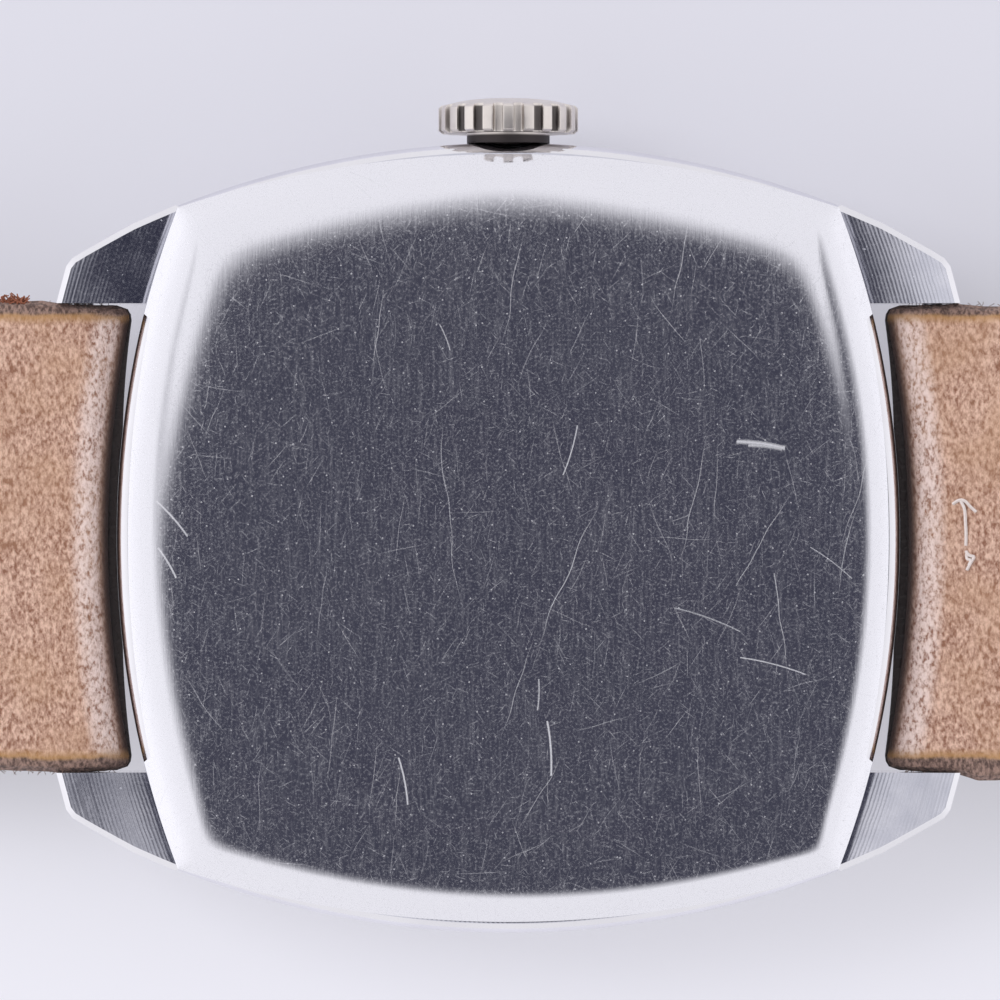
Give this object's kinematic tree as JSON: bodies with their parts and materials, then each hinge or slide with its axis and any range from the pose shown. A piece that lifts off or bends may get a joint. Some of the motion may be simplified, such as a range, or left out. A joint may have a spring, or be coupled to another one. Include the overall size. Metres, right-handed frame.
{
  "type": "cushion case wristwatch",
  "caption": "Hand-wound wristwatch in a steel cushion case with a pressed-on back, fluted crown and leather strap with buckle, lying face down with the strap open.",
  "frame": {"origin": "centre of the crystal's flat outer face, which rests on the table", "axes": "+Z out through the case back, +X towards 12 o'clock and the buckle, +Y towards 3 o'clock and the crown"},
  "size_m": [0.2297, 0.0321, 0.0082],
  "materials": {
    "case_steel": "polished stainless steel, lightly scratched",
    "crown_metal": "warm nickel plate, worn",
    "crystal": "clear polished",
    "gasket": "matte",
    "movement_steel": "fine ground",
    "gilt_brass": "gilt",
    "nickel_plate": "nickel-plated, frosted",
    "blued_steel": "heat-blued, polished",
    "ruby": "polished",
    "dial_silver": "silvered, fine sunray brushing",
    "marker_metal": "polished",
    "leather_outer": "smooth dark brown calf",
    "leather_lining": "fibrous tan suede",
    "buckle_steel": "polished stainless steel"
  },
  "bodies": {
    "watch_case": {"case_middle": "case_steel", "crown_tube": "movement_steel", "case_back": "case_steel", "back_gasket": "gasket", "bezel": "case_steel", "crystal_gasket": "gasket", "crystal": "crystal", "main_plate": "nickel_plate", "barrel_bridge": "nickel_plate", "train_bridge": "nickel_plate", "pallet_cock": "nickel_plate", "balance_cock": "nickel_plate", "jewels": "ruby", "case_clamps": "movement_steel", "movement_screws": "movement_steel", "dial": "dial_silver", "dial_markers": "marker_metal", "hairspring": "blued_steel", "click_spring": "movement_steel", "spring_bar_tubes": "movement_steel", "spring_bar_springs": "movement_steel"},
    "minute_train": {"centre_wheel": "gilt_brass", "cannon_pinion": "movement_steel", "minute_hand": "blued_steel"},
    "hour_train": {"hour_wheel": "gilt_brass", "hour_hand": "blued_steel"},
    "minute_work": {"minute_wheel": "gilt_brass"},
    "setting_gear": {"setting_wheel": "gilt_brass"},
    "barrel": {"barrel_drum": "gilt_brass", "mainspring": "movement_steel"},
    "third": {"third_wheel": "gilt_brass"},
    "fourth": {"fourth_wheel": "gilt_brass", "seconds_hand": "blued_steel"},
    "escape": {"escape_wheel": "gilt_brass"},
    "pallet": {"pallet_fork": "movement_steel"},
    "balance": {"balance_wheel": "gilt_brass"},
    "winding": {"winding_pinion": "movement_steel"},
    "stem": {"crown": "crown_metal", "crown_gasket": "gasket", "winding_stem": "movement_steel"},
    "clutch": {"sliding_pinion": "movement_steel"},
    "setting_arm": {"setting_lever": "movement_steel"},
    "yoke_arm": {"yoke": "movement_steel"},
    "crown_gear": {"crown_wheel": "movement_steel"},
    "ratchet": {"ratchet_wheel": "movement_steel", "barrel_arbor": "movement_steel"},
    "click_arm": {"click": "movement_steel"},
    "tip_12_crown_side": {"bar_tip_12_crown_side": "movement_steel"},
    "tip_12_far_side": {"bar_tip_12_far_side": "movement_steel"},
    "tip_6_crown_side": {"bar_tip_6_crown_side": "movement_steel"},
    "tip_6_far_side": {"bar_tip_6_far_side": "movement_steel"},
    "strap_12": {"strap_12_outer": "leather_outer", "strap_12_lining": "leather_lining", "fixed_keeper": "leather_outer"},
    "strap_6": {"strap_6_outer": "leather_outer", "strap_6_lining": "leather_lining"},
    "keeper": {"free_keeper": "leather_outer"},
    "buckle": {"buckle_frame": "buckle_steel", "buckle_bar": "buckle_steel"},
    "tang": {"buckle_tang": "buckle_steel"}
  },
  "joints": [
    {"name": "minute_drive", "type": "hinge", "parent": "watch_case", "child": "minute_train", "pos_m": [0, 0, 0.0055], "axis": [0, 0, 1], "continuous": true},
    {"name": "hour_turn", "type": "hinge", "parent": "watch_case", "child": "hour_train", "pos_m": [0, 0, 0.0055], "axis": [0, 0, 1], "continuous": true},
    {"name": "minute_wheel_turn", "type": "hinge", "parent": "watch_case", "child": "minute_work", "pos_m": [0.00042, 0.00236, 0.0055], "axis": [0, 0, 1], "continuous": true},
    {"name": "setting_wheel_turn", "type": "hinge", "parent": "watch_case", "child": "setting_gear", "pos_m": [0.0006, 0.00506, 0.0055], "axis": [0, 0, 1], "continuous": true},
    {"name": "barrel_turn", "type": "hinge", "parent": "watch_case", "child": "barrel", "pos_m": [0.00522, 0.00243, 0.0055], "axis": [0, 0, 1], "continuous": true},
    {"name": "third_turn", "type": "hinge", "parent": "watch_case", "child": "third", "pos_m": [-0.00368, 0.00259, 0.0055], "axis": [0, 0, 1], "continuous": true},
    {"name": "fourth_turn", "type": "hinge", "parent": "watch_case", "child": "fourth", "pos_m": [-0.0065, 0, 0.0055], "axis": [0, 0, 1], "continuous": true},
    {"name": "escape_turn", "type": "hinge", "parent": "watch_case", "child": "escape", "pos_m": [-0.00576, -0.00322, 0.0055], "axis": [0, 0, 1], "continuous": true},
    {"name": "pallet_rock", "type": "hinge", "parent": "watch_case", "child": "pallet", "pos_m": [-0.00434, -0.00518, 0.0055], "axis": [0, 0, 1], "range_deg": [-5, 5]},
    {"name": "balance_swing", "type": "hinge", "parent": "watch_case", "child": "balance", "pos_m": [-0.0026, -0.0076, 0.0055], "axis": [0, 0, 1], "range_deg": [-220, 220]},
    {"name": "crown_turn", "type": "hinge", "parent": "watch_case", "child": "winding", "pos_m": [0, 0.0092, 0.0049], "axis": [0, 1, 0], "continuous": true},
    {"name": "crown_pull", "type": "slide", "parent": "winding", "child": "stem", "axis": [0, 1, 0], "range_m": [0, 0.0008]},
    {"name": "clutch_slide", "type": "slide", "parent": "winding", "child": "clutch", "axis": [0, 1, 0], "range_m": [-0.00061, 0.00001]},
    {"name": "setting_lever_turn", "type": "hinge", "parent": "watch_case", "child": "setting_arm", "pos_m": [0.0033, 0.0102, 0.0055], "axis": [0, 0, 1], "range_deg": [-17.5, 0.5]},
    {"name": "yoke_turn", "type": "hinge", "parent": "watch_case", "child": "yoke_arm", "pos_m": [0.005, 0.0066, 0.0055], "axis": [0, 0, 1], "range_deg": [-0.5, 8.5]},
    {"name": "crown_wheel_turn", "type": "hinge", "parent": "watch_case", "child": "crown_gear", "pos_m": [0, 0.0076, 0.0055], "axis": [0, 0, 1], "continuous": true},
    {"name": "ratchet_turn", "type": "hinge", "parent": "watch_case", "child": "ratchet", "pos_m": [0.00522, 0.00243, 0.0055], "axis": [0, 0, 1], "continuous": true},
    {"name": "click_lift", "type": "hinge", "parent": "watch_case", "child": "click_arm", "pos_m": [0.0099, -0.0026, 0.0055], "axis": [0, 0, 1], "range_deg": [-10, 0]},
    {"name": "strap_12_fold", "type": "hinge", "parent": "watch_case", "child": "strap_12", "pos_m": [0.0164, 0, 0.005], "axis": [0, -1, 0], "range_deg": [-20, 85]},
    {"name": "strap_6_fold", "type": "hinge", "parent": "watch_case", "child": "strap_6", "pos_m": [-0.0164, 0, 0.005], "axis": [0, 1, 0], "range_deg": [-20, 85]},
    {"name": "free_keeper_slide", "type": "slide", "parent": "strap_12", "child": "keeper", "axis": [1, 0, 0], "range_m": [-0.012, 0.008]},
    {"name": "buckle_fold", "type": "hinge", "parent": "strap_12", "child": "buckle", "pos_m": [0.09, 0, 0.0044], "axis": [0, -1, 0], "range_deg": [-60, 60]},
    {"name": "tang_fold", "type": "hinge", "parent": "buckle", "child": "tang", "pos_m": [0.09, 0, 0.0044], "axis": [0, 1, 0], "range_deg": [0, 80]},
    {"name": "tip_12_crown_side_press", "type": "slide", "parent": "watch_case", "child": "tip_12_crown_side", "axis": [0, -1, 0], "range_m": [0, 0.00075], "stiffness_N_per_m": 600},
    {"name": "tip_12_far_side_press", "type": "slide", "parent": "watch_case", "child": "tip_12_far_side", "axis": [0, 1, 0], "range_m": [0, 0.00075], "stiffness_N_per_m": 600},
    {"name": "tip_6_crown_side_press", "type": "slide", "parent": "watch_case", "child": "tip_6_crown_side", "axis": [0, -1, 0], "range_m": [0, 0.00075], "stiffness_N_per_m": 600},
    {"name": "tip_6_far_side_press", "type": "slide", "parent": "watch_case", "child": "tip_6_far_side", "axis": [0, 1, 0], "range_m": [0, 0.00075], "stiffness_N_per_m": 600}
  ],
  "couplings": [
    {"joint": "hour_turn", "follows": "minute_drive", "ratio": 0.083333},
    {"joint": "minute_wheel_turn", "follows": "minute_drive", "ratio": -0.33333},
    {"joint": "setting_wheel_turn", "follows": "minute_drive", "ratio": 0.66667},
    {"joint": "barrel_turn", "follows": "minute_drive", "ratio": -0.14286},
    {"joint": "third_turn", "follows": "minute_drive", "ratio": -8},
    {"joint": "fourth_turn", "follows": "minute_drive", "ratio": 60},
    {"joint": "escape_turn", "follows": "minute_drive", "ratio": -600},
    {"joint": "crown_wheel_turn", "follows": "crown_turn", "ratio": -0.85714},
    {"joint": "ratchet_turn", "follows": "crown_turn", "ratio": 0.58442},
    {"joint": "clutch_slide", "follows": "crown_pull", "ratio": -0.75},
    {"joint": "setting_lever_turn", "follows": "crown_pull", "rad_per_m": -364},
    {"joint": "yoke_turn", "follows": "crown_pull", "rad_per_m": 171}
  ]
}
